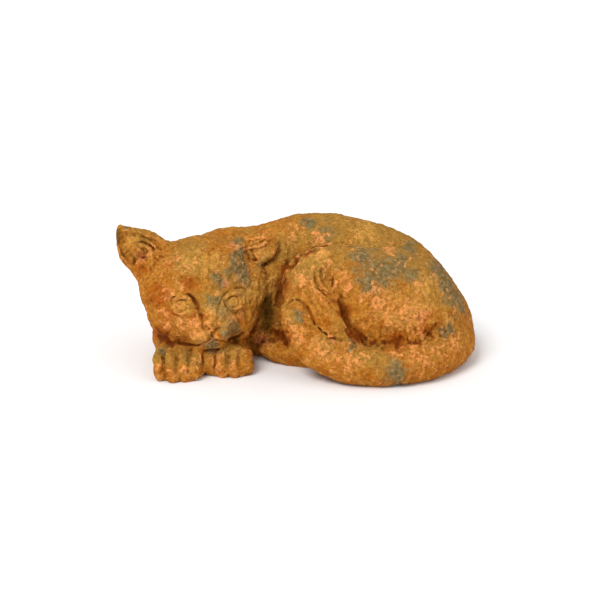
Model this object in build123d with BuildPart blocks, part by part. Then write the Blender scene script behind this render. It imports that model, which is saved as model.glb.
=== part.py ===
"""Hollow fired-clay figurine of a cat curled up asleep, its chin on its forepaws and its tail brought
round in front.

It is built as a potter builds it. The body, the head and the hind leg are pressed hollow, the ears, the
forelegs, the hind foot and the tail are solid, and all are luted together with slip while the clay is
leather hard. A slab with a pour hole closes the underside. Every joint is therefore face to face: each
piece is trimmed by the surface of the piece that it is luted to.

Millimetres. X runs from the head to the rump, Y to the cat's back, and Z up from the surface it stands on.
The origin is the middle of the footprint. The sides are the cat's own, so its right ear is the one at -X.
"""

from build123d import *

import os
from math import sqrt

# ---------------------------------------------------------------------------------------------------
# Driving dimensions
# ---------------------------------------------------------------------------------------------------
clay_wall = 7.0  # thickness of the pressed hollow pieces
floor_thickness = 8.0  # slab that closes the underside
pour_hole_diameter = 26.0  # lets the air out in the kiln
air_passage_diameter = 14.0  # between two hollow pieces, so that none is sealed in the kiln

# Body: egg-shaped sections across X, strung along a back that bends with the curl
body_left = -121.0
body_length = 274.0
body_depth = 116.0
back_height = 124.5
widest_share = 0.42  # share of a section's height at which it is widest
body_stations = (
    # along, middle, width, height: shares of body_length, body_depth, body_depth and back_height
    (0.000, 0.28, 0.09, 0.360),
    (0.014, 0.28, 0.34, 0.510),
    (0.055, 0.28, 0.56, 0.700),
    (0.130, 0.29, 0.70, 0.850),
    (0.265, 0.30, 0.80, 0.895),
    (0.400, 0.31, 0.86, 0.970),
    (0.500, 0.30, 0.89, 1.000),
    (0.600, 0.28, 0.92, 0.985),
    (0.720, 0.25, 0.96, 0.920),
    (0.850, 0.20, 0.92, 0.783),
    (0.935, 0.17, 0.76, 0.580),
    (0.985, 0.16, 0.48, 0.430),
    (1.000, 0.16, 0.16, 0.330),
)

# Head, in its own frame: X across the face, -Y out of the face, Z up, origin in the middle of the skull
head_width = 110.0
head_height = 88.0
head_depth = 84.0
head_behind = 34.0  # how far the nape lies behind the origin
head_in_from_left = 34.0  # from the body's left end to the middle of the face
head_forward = 7.6  # how far the origin lies in front of the body's own origin
head_turn = 12.0  # degrees, the face turned towards the rump
head_stations = (
    # along, middle, width, height: shares of head_depth, head_height, head_width and head_height
    (0.00, 0.05, 0.42, 0.42),
    (0.08, 0.03, 0.74, 0.70),
    (0.25, 0.00, 0.96, 0.92),
    (0.42, -0.03, 1.00, 0.98),
    (0.58, -0.06, 0.94, 0.95),
    (0.80, -0.18, 0.60, 0.66),
    (0.92, -0.28, 0.38, 0.40),
    (1.00, -0.32, 0.18, 0.18),
)
cheek_diameter = 48.0
eye_spacing = 40.0
eye_diameter = 23.0
eye_width = 20.5  # the opening between the lids
eye_height = 15.0
eye_turn = 16.0  # degrees, each eye turned outwards
lid_thickness = 1.6
whisker_pad_diameter = 18.0
chin_width = 36.0
chin_height = 12.0
nose_bridge_diameter = 17.0
nose_width = 12.0

# Ears: a cupped blade on an oval root. The left one is pressed back on the shoulder, so its tip is blunt.
ear_length = 44.0
ear_width = 43.0
ear_cup = 26.0  # front to back at the root
ear_wall = 5.0
ear_root_in = 13.0  # from the side of the head to the middle of the root
right_ear_stations = (
    # up, lean, width, depth: shares of ear_length, ear_width, ear_width and ear_cup
    (-0.40, 0.00, 0.92, 0.92),
    (0.00, -0.01, 1.00, 1.00),
    (0.30, -0.03, 0.95, 0.88),
    (0.56, -0.05, 0.78, 0.70),
    (0.80, -0.04, 0.45, 0.48),
    (1.00, 0.03, 0.10, 0.20),
)
left_ear_stations = (
    (-0.30, 0.10, 0.46, 0.60),
    (0.00, 0.03, 0.72, 0.92),
    (0.30, -0.02, 0.74, 0.85),
    (0.60, -0.03, 0.62, 0.68),
    (0.86, -0.04, 0.42, 0.46),
    (1.00, -0.04, 0.14, 0.22),
)

# Forelegs: each lies along Y under the head, and ends in a paw of upright round toes
foreleg_length = 86.0
foreleg_width = 38.0
forearm_height = 46.0
paw_width = 43.2
paw_height = 25.0
toe_count = 4
toes_before_nose = 12.0  # how far the right paw's toes reach in front of the nose
paw_stagger = 11.0  # how much further back the left paw lies
foreleg_stations = (
    # back, width, height: shares of foreleg_length, foreleg_width and forearm_height
    (0.08, 1.00, 0.42),
    (0.18, 1.12, 0.54),
    (0.34, 1.04, 0.58),
    (0.62, 0.94, 0.72),
    (1.00, 0.90, 0.90),
)

# Hind leg: a folded thigh that is one long egg, and the shank that lies across it
thigh_length = 163.0
thigh_height = 100.0
thigh_thickness = 86.0
thigh_in_from_right = 5.0
thigh_middle_y = -19.6
thigh_stations = (
    # along from the knee, back and up from the thigh's middle, and shares of thickness and height
    (0.000, -9, 19, 0.10, 0.10),
    (0.025, -9, 19, 0.27, 0.32),
    (0.080, -8, 18, 0.49, 0.55),
    (0.180, -6, 15, 0.72, 0.74),
    (0.330, -3, 8, 0.90, 0.89),
    (0.520, 0, 1, 1.00, 0.99),
    (0.700, 4, -4, 0.96, 0.95),
    (0.850, 8, -9, 0.80, 0.76),
    (0.950, 11, -13, 0.52, 0.48),
    (1.000, 12, -15, 0.18, 0.16),
)
thigh_clearance = 8.0  # the thigh's lowest point is this far above the surface
shank_diameter = 25.0
shank_length = 84.0
hind_foot_length = 100.0
hind_foot_width = 28.0
hind_foot_height = 25.0

# Tail: round, thickest at the root
tail_diameter = 34.0  # where it lies in front of the thigh
tail_taper = (
    # along the centreline, and share of tail_diameter
    (0.00, 1.26),
    (0.12, 1.22),
    (0.27, 1.11),
    (0.43, 1.04),
    (0.58, 1.00),
    (0.74, 0.94),
    (0.86, 0.82),
    (0.96, 0.70),
)

# ---------------------------------------------------------------------------------------------------
# Places that follow from the dimensions
# ---------------------------------------------------------------------------------------------------
body_right = body_left + body_length

nose_y = head_behind - head_depth  # in the head's own frame, as the next six are
pad_z = -0.385 * head_height
chin_z = -0.495 * head_height
eye_place = (eye_spacing / 2, nose_y + 24, -0.067 * head_height)
cheek_place = (0.235 * head_width, nose_y + 40, -0.25 * head_height)
bridge_place = (0, nose_y + 16, -0.15 * head_height)
nose_place = (0, nose_y + 5, -0.29 * head_height)

head_x = body_left + head_in_from_left
head_z = paw_height + 0.53 * head_height  # the chin rests on the paws
head_place = Location((head_x, -head_forward, head_z), (0, 0, head_turn))
ear_out = head_width / 2 - ear_root_in
ear_z = head_z + 0.24 * head_height
right_ear_place = Vector(head_x - ear_out, -2.6, ear_z)
left_ear_place = Vector(head_x + ear_out - 14, -7.6, ear_z)
left_ear_rest = Vector(left_ear_place.X + 0.92 * ear_length, 0.01 * body_depth, 0.88 * back_height)

paws_meet_x = head_x + 3.4
right_toe_y = nose_y - head_forward - toes_before_nose

thigh_right = body_right - thigh_in_from_right
thigh_left = thigh_right - thigh_length
thigh_middle_z = thigh_clearance + thigh_height / 2
thigh_front = thigh_middle_y - thigh_thickness / 2
tail_radius = tail_diameter / 2


# ---------------------------------------------------------------------------------------------------
# Shapes used by several pieces. Each draws into the part being built.
# ---------------------------------------------------------------------------------------------------
def egg(centre, axis, blunt_end, sharp_end, girth):
    """Revolve an egg outline about its long axis, which points to the sharp end. Girth is a radius."""
    outline_plane = Plane(origin=centre, x_dir=axis, z_dir=Vector(*axis).cross(Vector(0.1, 0.2, 1)))
    with BuildSketch(outline_plane) as outline:
        with BuildLine():
            EllipticalCenterArc((0, 0), sharp_end, girth, 0, arc_size=90)
            EllipticalCenterArc((0, 0), blunt_end, girth, 90, arc_size=90)
            Line((-blunt_end, 0), (sharp_end, 0))
        make_face()
    revolve(outline.sketch, axis=Axis(centre, axis))


def oval_loft(stations, mode=Mode.ADD):
    """Loft through ovals, each given as (plane, half width, half height)."""
    sections = []
    for plane, half_width, half_height in stations:
        with BuildSketch(plane) as section:
            Ellipse(half_width, half_height)
        sections.append(section.sketch)
    loft(sections, mode=mode)


def drawn_in(half_size, inset):
    """Half a section's size less the clay's thickness, kept above nothing where the form comes to an end."""
    return max(half_size - inset, inset / 4)


def body_loft(inset):
    """Loft the body through its sections, all drawn in by inset from the outside."""
    stations = []
    for along, middle, width, height in body_stations:
        top = height * back_height
        centre = top * widest_share
        x = body_left + inset + along * (body_length - 2 * inset)
        plane = Plane(origin=(x, middle * body_depth, centre), x_dir=(0, 1, 0), z_dir=(1, 0, 0))
        stations.append((plane, drawn_in(width * body_depth / 2, inset), drawn_in(top - centre, inset)))
    oval_loft(stations)


def head_loft(inset):
    """Loft the skull from nape to nose in the head's own frame, drawn in by inset from the outside."""
    stations = []
    for along, middle, width, height in head_stations:
        y = head_behind - inset - along * (head_depth - 2 * inset)
        plane = Plane(origin=(0, y, middle * head_height), x_dir=(1, 0, 0), z_dir=(0, -1, 0))
        half_width = drawn_in(width * head_width / 2, inset)
        stations.append((plane, half_width, drawn_in(height * head_height / 2, inset)))
    oval_loft(stations)


def thigh_loft(inset):
    """Loft the folded thigh from the knee to the hip, drawn in by inset from the outside."""
    stations = []
    for along, back, up, thickness, height in thigh_stations:
        x = thigh_left + inset + along * (thigh_length - 2 * inset)
        origin = (x, thigh_middle_y + back, thigh_middle_z + up)
        plane = Plane(origin=origin, x_dir=(0, 1, 0), z_dir=(1, 0, 0))
        half_thickness = drawn_in(thickness * thigh_thickness / 2, inset)
        stations.append((plane, half_thickness, drawn_in(height * thigh_height / 2, inset)))
    oval_loft(stations)


def ear_blade(root, stations):
    """Draw a cupped ear that stands on the plane root and opens towards that plane's -Y side."""
    outside = []
    inside = []
    for up, lean, width, depth in stations:
        half_width = width * ear_width / 2
        half_depth = depth * ear_cup / 2
        level = root.offset(up * ear_length).moved(Location((lean * ear_width, 0, 0)))
        outside.append((level, half_width, half_depth))
        if up >= 0:
            opened = level.moved(Location((0, -1.6 * ear_wall, ear_wall)))
            inside.append((opened, max(half_width - ear_wall, 1), max(half_depth - 0.4 * ear_wall, 1)))
    oval_loft(outside)
    oval_loft(inside, Mode.SUBTRACT)


def foreleg(middle_x, toe_y, forearm_shift, toe_slant):
    """Lay a foreleg back along Y from its toes. The forearm is set over by forearm_shift at its far end."""
    stations = []
    for back, width, height in foreleg_stations:
        half_height = height * forearm_height / 2
        origin = (middle_x + back * forearm_shift, toe_y + back * foreleg_length, 0.86 * half_height)
        plane = Plane(origin=origin, x_dir=(1, 0, 0), z_dir=(0, -1, 0))
        stations.append((plane, width * foreleg_width / 2, half_height))
    oval_loft(stations)
    pitch = paw_width / toe_count
    for toe in range(toe_count):
        off_middle = toe - (toe_count - 1) / 2
        y = toe_y + 8 + 3.4 * off_middle**2 + toe_slant * off_middle
        place = (middle_x + off_middle * pitch, y, 0.44 * paw_height)
        egg(place, (0, 0.25, 1), paw_height / 2, paw_height / 2, 0.6 * pitch)
    split(bisect_by=Plane.XY)


# ---------------------------------------------------------------------------------------------------
# Body: a shell open underneath, and the slab that closes it
# ---------------------------------------------------------------------------------------------------
with BuildPart() as body_outside:
    body_loft(inset=0)
    split(bisect_by=Plane.XY)

with BuildPart() as body_cavity:
    body_loft(inset=clay_wall)
    split(bisect_by=Plane.XY)

head_passage = (head_x, 0, head_z)
thigh_passage = (thigh_left + 0.55 * thigh_length, thigh_middle_y - 5, thigh_middle_z)
with BuildPart() as body_shell:
    add(body_outside.part)
    add(body_cavity.part, mode=Mode.SUBTRACT)
    with Locations(Location(head_passage, (90, 0, 0)), Location(thigh_passage, (90, 0, 0))):
        Cylinder(air_passage_diameter / 2, 5 * clay_wall, mode=Mode.SUBTRACT)
body_shell.part.label = "body_shell"

pour_hole_place = (body_left + 0.58 * body_length, 0.16 * body_depth, floor_thickness)
with BuildPart() as base_slab:
    add(body_cavity.part)
    split(bisect_by=Plane.XY.offset(floor_thickness), keep=Keep.BOTTOM)
    with Locations(pour_hole_place):
        Hole(pour_hole_diameter / 2)
base_slab.part.label = "base_slab"

# ---------------------------------------------------------------------------------------------------
# Head: a pressed shell, open at the back where it is luted to the neck
# ---------------------------------------------------------------------------------------------------
with BuildPart() as eye:
    Sphere(eye_diameter / 2 + lid_thickness)
    with BuildSketch(Plane.XZ) as opening:
        with BuildLine():
            ThreePointArc((-eye_width / 2, 0), (0, 0.55 * eye_height), (eye_width / 2, 0))
            ThreePointArc((eye_width / 2, 0), (0, -0.45 * eye_height), (-eye_width / 2, 0))
        make_face()
    extrude(amount=eye_diameter, mode=Mode.SUBTRACT)
    Sphere(eye_diameter / 2)

with BuildPart() as head_form:
    head_loft(inset=0)
    egg((0, nose_y + 17, chin_z), (1, 0, 0), chin_width / 2, chin_width / 2, chin_height / 2)
    for side in (-1, 1):
        out, forward, up = cheek_place
        egg((side * out, forward, up), (side * 0.2, -1, 0.1), 24, 24, cheek_diameter / 2)
        pad_place = (side * 0.43 * whisker_pad_diameter, nose_y + 10, pad_z)
        egg(pad_place, (side * 0.4, -1, 0), 12, 11, whisker_pad_diameter / 2)
        out, forward, up = eye_place
        with Locations(Location((side * out, forward, up), (0, side * 8, side * eye_turn))):
            add(eye.part)
    egg(bridge_place, (0, -0.5, -0.87), 20, 20, nose_bridge_diameter / 2)
    egg(nose_place, (0, -1, 0.4), 6, 7, nose_width / 2)

with BuildPart() as head_outside:
    with Locations(head_place):
        add(head_form.part)

with BuildPart() as head_cavity:
    head_loft(inset=clay_wall)

with BuildPart() as head:
    add(head_outside.part)
    with Locations(head_place):
        add(head_cavity.part, mode=Mode.SUBTRACT)
    add(body_outside.part, mode=Mode.SUBTRACT)
head.part.label = "head"

# ---------------------------------------------------------------------------------------------------
# Ears: the right one stands up and out, the left one lies back against the shoulder
# ---------------------------------------------------------------------------------------------------
right_ear_root = Plane(origin=right_ear_place, x_dir=(0.70, 0, 0.71), z_dir=(-0.71, 0, 0.70))
with BuildPart() as right_ear:
    ear_blade(right_ear_root, right_ear_stations)
    add(head_outside.part, mode=Mode.SUBTRACT)
right_ear.part.label = "right_ear"

left_ear_lean = left_ear_rest - left_ear_place
left_ear_root = Plane(origin=left_ear_place, x_dir=Vector(0, 1, 0).cross(left_ear_lean), z_dir=left_ear_lean)
with BuildPart() as left_ear:
    ear_blade(left_ear_root, left_ear_stations)
    add(head_outside.part, mode=Mode.SUBTRACT)
    add(body_outside.part, mode=Mode.SUBTRACT)
left_ear.part.label = "left_ear"

# ---------------------------------------------------------------------------------------------------
# Forelegs
# ---------------------------------------------------------------------------------------------------
with BuildPart() as right_foreleg:
    foreleg(paws_meet_x - paw_width / 2, right_toe_y, forearm_shift=-9, toe_slant=3)
    add(head_outside.part, mode=Mode.SUBTRACT)
    add(body_outside.part, mode=Mode.SUBTRACT)
right_foreleg.part.label = "right_foreleg"

with BuildPart() as left_foreleg:
    foreleg(paws_meet_x + paw_width / 2, right_toe_y + paw_stagger, forearm_shift=0, toe_slant=0)
    add(head_outside.part, mode=Mode.SUBTRACT)
    add(body_outside.part, mode=Mode.SUBTRACT)
    add(right_foreleg.part, mode=Mode.SUBTRACT)
left_foreleg.part.label = "left_foreleg"

# ---------------------------------------------------------------------------------------------------
# Hind leg: a pressed shell, open where it is luted to the flank, with a solid shank
# ---------------------------------------------------------------------------------------------------
shank_place = (thigh_left + 48, thigh_front + 8, thigh_middle_z - 8)
with BuildPart() as hind_leg_outside:
    thigh_loft(inset=0)
    egg(shank_place, (0.50, -0.08, -0.86), shank_length / 2, shank_length / 2, shank_diameter / 2)
    split(bisect_by=Plane.XY)

with BuildPart() as thigh_cavity:
    thigh_loft(inset=clay_wall)

with BuildPart() as hind_leg:
    add(hind_leg_outside.part)
    add(thigh_cavity.part, mode=Mode.SUBTRACT)
    add(body_outside.part, mode=Mode.SUBTRACT)
hind_leg.part.label = "hind_leg"

# ---------------------------------------------------------------------------------------------------
# Hind foot: it reaches forward from the hock, under the tail
# ---------------------------------------------------------------------------------------------------
foot_radius = hind_foot_width / 2
foot_place = (thigh_left + 27, thigh_front + 42, hind_foot_height - foot_radius)
with BuildPart() as hind_foot:
    egg(foot_place, (-1, 0.25, 0), hind_foot_length / 2, hind_foot_length / 2, foot_radius)
    split(bisect_by=Plane.XY)
    add(body_outside.part, mode=Mode.SUBTRACT)
    add(hind_leg_outside.part, mode=Mode.SUBTRACT)
hind_foot.part.label = "hind_foot"

# ---------------------------------------------------------------------------------------------------
# Tail: from the rump, round in front of the thigh, and up over the hind foot to the knee
# ---------------------------------------------------------------------------------------------------
with BuildLine() as tail_path:
    Spline(
        (body_right - 28, 41.4, tail_radius + 9),
        (body_right - 13, 8.0, tail_radius + 3),
        (body_right - 29, thigh_front + 23, tail_radius),
        (body_right - 72, thigh_front - 5, tail_radius),
        (thigh_left + 59, thigh_front - 4, tail_radius + 0.5),
        (thigh_left + 31, thigh_front + 6, tail_radius + 9),
        (thigh_left + 16, thigh_front + 13, tail_radius + 24),
        (thigh_left + 12, thigh_front + 18, tail_radius + 50),
    )
tail_centreline = tail_path.edge()

with BuildPart() as tail:
    tail_sections = []
    for along, share in tail_taper:
        heading = tail_centreline % along
        level = Vector(0, 0, 1).cross(heading)
        across = Plane(origin=tail_centreline @ along, x_dir=level, z_dir=heading)
        radius = share * tail_radius
        tail_sections.append((across, radius, radius))
    for rise in (0.6, 0.93):  # the round tip
        tip_radius = radius * sqrt(1 - rise**2)
        tail_sections.append((across.offset(rise * radius), tip_radius, tip_radius))
    oval_loft(tail_sections)
    split(bisect_by=Plane.XY)
    add(body_outside.part, mode=Mode.SUBTRACT)
    add(hind_leg_outside.part, mode=Mode.SUBTRACT)
    add(hind_foot.part, mode=Mode.SUBTRACT)
tail.part.label = "tail"

# ---------------------------------------------------------------------------------------------------
# One file for each piece
# ---------------------------------------------------------------------------------------------------
os.makedirs("parts", exist_ok=True)
export_step(body_shell.part, "parts/body_shell.step")
export_step(base_slab.part, "parts/base_slab.step")
export_step(head.part, "parts/head.step")
export_step(right_ear.part, "parts/right_ear.step")
export_step(left_ear.part, "parts/left_ear.step")
export_step(right_foreleg.part, "parts/right_foreleg.step")
export_step(left_foreleg.part, "parts/left_foreleg.step")
export_step(hind_leg.part, "parts/hind_leg.step")
export_step(hind_foot.part, "parts/hind_foot.step")
export_step(tail.part, "parts/tail.step")
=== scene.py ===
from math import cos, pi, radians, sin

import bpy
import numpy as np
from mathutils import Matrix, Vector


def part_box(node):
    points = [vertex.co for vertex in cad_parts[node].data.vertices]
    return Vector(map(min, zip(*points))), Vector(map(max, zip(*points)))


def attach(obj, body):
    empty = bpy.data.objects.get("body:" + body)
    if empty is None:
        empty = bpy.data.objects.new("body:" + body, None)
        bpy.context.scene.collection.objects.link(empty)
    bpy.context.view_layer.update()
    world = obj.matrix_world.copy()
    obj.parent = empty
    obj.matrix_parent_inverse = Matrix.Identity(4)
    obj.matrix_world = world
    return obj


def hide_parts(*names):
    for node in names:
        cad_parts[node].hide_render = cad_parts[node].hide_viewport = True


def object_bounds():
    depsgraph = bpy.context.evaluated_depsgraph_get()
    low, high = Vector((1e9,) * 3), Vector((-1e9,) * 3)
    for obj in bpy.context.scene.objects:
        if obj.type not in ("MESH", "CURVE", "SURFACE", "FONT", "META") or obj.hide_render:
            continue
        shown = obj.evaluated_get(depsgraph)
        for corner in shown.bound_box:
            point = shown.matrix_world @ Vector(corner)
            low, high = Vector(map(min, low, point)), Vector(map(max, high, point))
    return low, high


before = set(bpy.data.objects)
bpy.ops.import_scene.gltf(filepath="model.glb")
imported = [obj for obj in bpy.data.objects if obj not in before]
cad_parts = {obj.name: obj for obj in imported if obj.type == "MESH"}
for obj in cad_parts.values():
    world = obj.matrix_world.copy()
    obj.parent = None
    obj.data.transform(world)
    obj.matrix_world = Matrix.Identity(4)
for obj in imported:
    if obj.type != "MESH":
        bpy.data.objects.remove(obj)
cad_low, cad_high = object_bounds()

# Weathered terracotta figurine of a sleeping cat.
#
# The figurine is carved here as a potter finishes leather-hard clay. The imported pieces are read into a
# block of "clay", a grid that holds the distance to the surface at each point (negative inside,
# millimetres). Their joints are smoothed over, the face, ears, paws and fur are modelled with strokes of a
# tool, the skin gets its lumps and chips, and the block is cut back into the same pieces, apart from the
# slab underneath, which stays as it was packed.

import openvdb as vdb
from mathutils import Vector

MM = 0.001  # metres

# ----------------------------------------------------------------------------------------------------
# The block of clay
# ----------------------------------------------------------------------------------------------------
VOXEL = 0.85  # the side of a cell
REACH = 12.0  # distances are kept up to this far from a surface
EDGE = 8  # spare cells round the object
CLAY_PIECES = (
    "body_shell", "hind_leg", "tail", "hind_foot", "head", "right_foreleg", "left_foreleg", "right_ear",
    "left_ear",
)

first_cell = np.floor(np.array(cad_low) / MM / VOXEL).astype(int) - EDGE
last_cell = np.ceil(np.array(cad_high) / MM / VOXEL).astype(int) + EDGE
cells = tuple(int(n) for n in last_cell - first_cell)
corner = first_cell * VOXEL
lines = [corner[axis] + np.arange(cells[axis], dtype=np.float32) * VOXEL for axis in range(3)]


def piece_distance(node):
    """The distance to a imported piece's surface, from its mesh."""
    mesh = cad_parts[node].data
    mesh.calc_loop_triangles()
    points = np.empty(len(mesh.vertices) * 3, np.float32)
    mesh.vertices.foreach_get("co", points)
    faces = np.empty(len(mesh.loop_triangles) * 3, np.int32)
    mesh.loop_triangles.foreach_get("vertices", faces)
    grid = vdb.FloatGrid.createLevelSetFromPolygons(
        points.reshape(-1, 3) / MM,
        triangles=faces.reshape(-1, 3).astype(np.uint32),
        transform=vdb.createLinearTransform(voxelSize=VOXEL),
        exBandWidth=REACH / VOXEL,
        inBandWidth=REACH / VOXEL,
    )
    field = np.empty(cells, np.float32)
    grid.copyToArray(field, ijk=tuple(int(n) for n in first_cell))
    return field


def join(a, b, soft):
    """The union of two distances, with a fillet about as wide as soft."""
    near = np.maximum(soft - np.abs(a - b), 0)
    return np.minimum(a, b) - near * near / (4 * soft)


def carve(a, b, soft):
    """What is left of a when b is taken away, with a rounded edge."""
    return -join(-a, b, soft)


def spread(mask, steps):
    """Grow a mask by some cells."""
    for _ in range(steps):
        grown = mask.copy()
        for axis in range(3):
            ahead = [slice(None)] * 3
            behind = [slice(None)] * 3
            ahead[axis] = slice(1, None)
            behind[axis] = slice(None, -1)
            grown[tuple(ahead)] |= mask[tuple(behind)]
            grown[tuple(behind)] |= mask[tuple(ahead)]
        mask = grown
    return mask


def closed_in(solid):
    """Empty cells with something solid on all six sides, near or far."""
    enclosed = ~solid
    for axis in range(3):
        for way in (1, -1):
            turned = np.flip(solid, axis) if way < 0 else solid
            reached = np.logical_or.accumulate(turned, axis=axis)
            enclosed &= np.flip(reached, axis) if way < 0 else reached
    return enclosed


def blurred(field, radius):
    """A soft blur: two running means along each axis."""
    width = max(1, round(radius / VOXEL))
    for axis in range(3):
        for _ in range(2):
            margins = [(width + 1, width) if a == axis else (0, 0) for a in range(3)]
            padded = np.pad(field, margins, mode="edge")
            total = np.cumsum(padded, axis=axis, dtype=np.float64)
            far = [slice(None)] * 3
            near = [slice(None)] * 3
            far[axis] = slice(2 * width + 1, None)
            near[axis] = slice(None, -(2 * width + 1))
            field = ((total[tuple(far)] - total[tuple(near)]) / (2 * width + 1)).astype(np.float32)
    return field


def cell_corners(part):
    """The eight corners of a cell, each with its weight at a place within the cell."""
    for dx in (0, 1):
        for dy in (0, 1):
            for dz in (0, 1):
                weight = np.abs(1 - dx - part[:, 0]) * np.abs(1 - dy - part[:, 1])
                yield dx, dy, dz, weight * np.abs(1 - dz - part[:, 2])


def sample(field, points):
    """The field's value at points, between its cells."""
    place = (points - corner) / VOXEL
    place = np.clip(place, 0, np.array(cells) - 1.001)
    cell = place.astype(np.int32)
    part = (place - cell).astype(np.float32)
    total = np.zeros(len(points), np.float32)
    for dx, dy, dz, weight in cell_corners(part):
        total += weight * field[cell[:, 0] + dx, cell[:, 1] + dy, cell[:, 2] + dz]
    return total


# ----------------------------------------------------------------------------------------------------
# Seen from the front. A point is given as (across, up) in the plane that the camera faces, in
# millimetres from the frame's origin, and is dropped on the clay along the camera's direction.
# ----------------------------------------------------------------------------------------------------
ELEVATION = radians(18)  # how far above level the camera looks from
LOOK = np.array((0, cos(ELEVATION), -sin(ELEVATION)))
RIGHT = np.array((1.0, 0, 0))
UP = np.array((0, sin(ELEVATION), cos(ELEVATION)))
RAY_HALF = 110  # a ray is followed this far to either side of the front plane
RAY_STEP = 0.5


def on_clay(points):
    """Drop points of the front plane on the clay."""
    across = np.array([p[0] for p in points])
    up = np.array([p[1] for p in points])
    start = across[:, None] * RIGHT + up[:, None] * UP
    steps = np.arange(-RAY_HALF, RAY_HALF, RAY_STEP)
    ray = start[:, None, :] + steps[None, :, None] * LOOK
    depth = sample(clay, ray.reshape(-1, 3)).reshape(len(points), -1)
    hit = np.argmax(depth < 0, axis=1)
    rows = np.arange(len(points))
    before, after = depth[rows, hit - 1], depth[rows, hit]
    along = steps[hit] - RAY_STEP * after / (after - before)
    return start + along[:, None] * LOOK


def outward(point, radius=2.5):
    """The direction away from the clay, seen over a small radius."""
    offsets = np.eye(3) * radius
    slope = sample(clay, point + offsets) - sample(clay, point - offsets)
    return slope / np.linalg.norm(slope)


def smooth_line(points, count):
    """More points along a smooth curve through a few."""
    points = np.array(points, float)
    padded = np.vstack((2 * points[0] - points[1], points, 2 * points[-1] - points[-2]))
    line = []
    for t in np.linspace(0, len(points) - 1, count):
        i = min(int(t), len(points) - 2)
        f = t - i
        p0, p1, p2, p3 = padded[i:i + 4]
        turn = (p2 - p0) * f + (2 * p0 - 5 * p1 + 4 * p2 - p3) * f * f + (3 * p1 - p0 - 3 * p2 + p3) * f**3
        line.append(p1 + turn / 2)
    return np.array(line)


def window(low, high):
    """The cells between two corners, and their coordinates."""
    start = np.clip(np.floor((low - corner) / VOXEL).astype(int), 0, np.array(cells) - 1)
    stop = np.clip(np.ceil((high - corner) / VOXEL).astype(int) + 1, 1, np.array(cells))
    part = tuple(slice(int(a), int(b)) for a, b in zip(start, stop))
    grid = np.meshgrid(*(lines[axis][part[axis]] for axis in range(3)), indexing="ij")
    return part, np.stack(grid, axis=-1)


def chain_distance(places, centres, radii):
    """The distance to a chain of round rods."""
    distance = np.full(places.shape[:-1], 99.0, np.float32)
    for a, b, ra, rb in zip(centres[:-1], centres[1:], radii[:-1], radii[1:]):
        length = b - a
        share = np.clip((places - a) @ length / max(length @ length, 1e-6), 0, 1)
        off = places - a - share[..., None] * length
        distance = np.minimum(distance, np.linalg.norm(off, axis=-1) - ra - share * (rb - ra))
    return distance


def stroke(points, radius, height, soft=1.2, taper=0.5, count=14, level=None):
    """Raise a ridge, or press a groove where height is negative, along points of the front plane.

    Its depth is smoothed, so that it doesn't follow every bump. Level is a point of the front plane whose
    depth the whole stroke takes instead.
    """
    centres = on_clay(smooth_line(points, count))
    depth = centres @ LOOK
    for _ in range(3):
        depth = np.convolve(np.pad(depth, 1, mode="edge"), (0.25, 0.5, 0.25), mode="valid")
    centres += (depth - centres @ LOOK)[:, None] * LOOK
    if level:
        centres += ((on_clay([level])[0] - centres) @ LOOK)[:, None] * LOOK
    ends = np.sin(np.linspace(0, pi, count)) ** 0.6
    radii = radius * (1 - taper + taper * ends)
    heights = abs(height) * (1 - taper + taper * ends)
    sink = radii - heights
    centres = centres + (sink if height > 0 else -sink)[:, None] * LOOK
    shape_clay(centres, radii, soft, add=height > 0)


def shape_clay(centres, radii, soft, add=True):
    """Lay a chain of rods on the clay, or cut it out."""
    room = max(radii) + soft + 2
    part, places = window(centres.min(0) - room, centres.max(0) + room)
    distance = chain_distance(places, centres, radii)
    clay[part] = join(clay[part], distance, soft) if add else carve(clay[part], distance, soft)


def sponge(points, radius, soft, count=8):
    """Smooth the clay along points of the front plane, as with a wet sponge."""
    centres = on_clay(smooth_line(points, count))
    part, places = window(centres.min(0) - radius, centres.max(0) + radius)
    away = chain_distance(places, centres, np.zeros(count)) / radius
    block = clay[part]
    clay[part] = block + ramp(away, 1.0, 0.5) * (blurred(block, soft) - block)


def lump(place, radius, height, soft=3.0):
    """A round swelling, or a dent where height is negative, at a point of the front plane."""
    centre = on_clay([place])[0]
    away = outward(centre)
    centre = centre + away * ((height - radius) if height > 0 else (radius + height))
    shape_clay(np.array((centre, centre)), np.array((radius, radius)), soft, add=height > 0)


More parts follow.
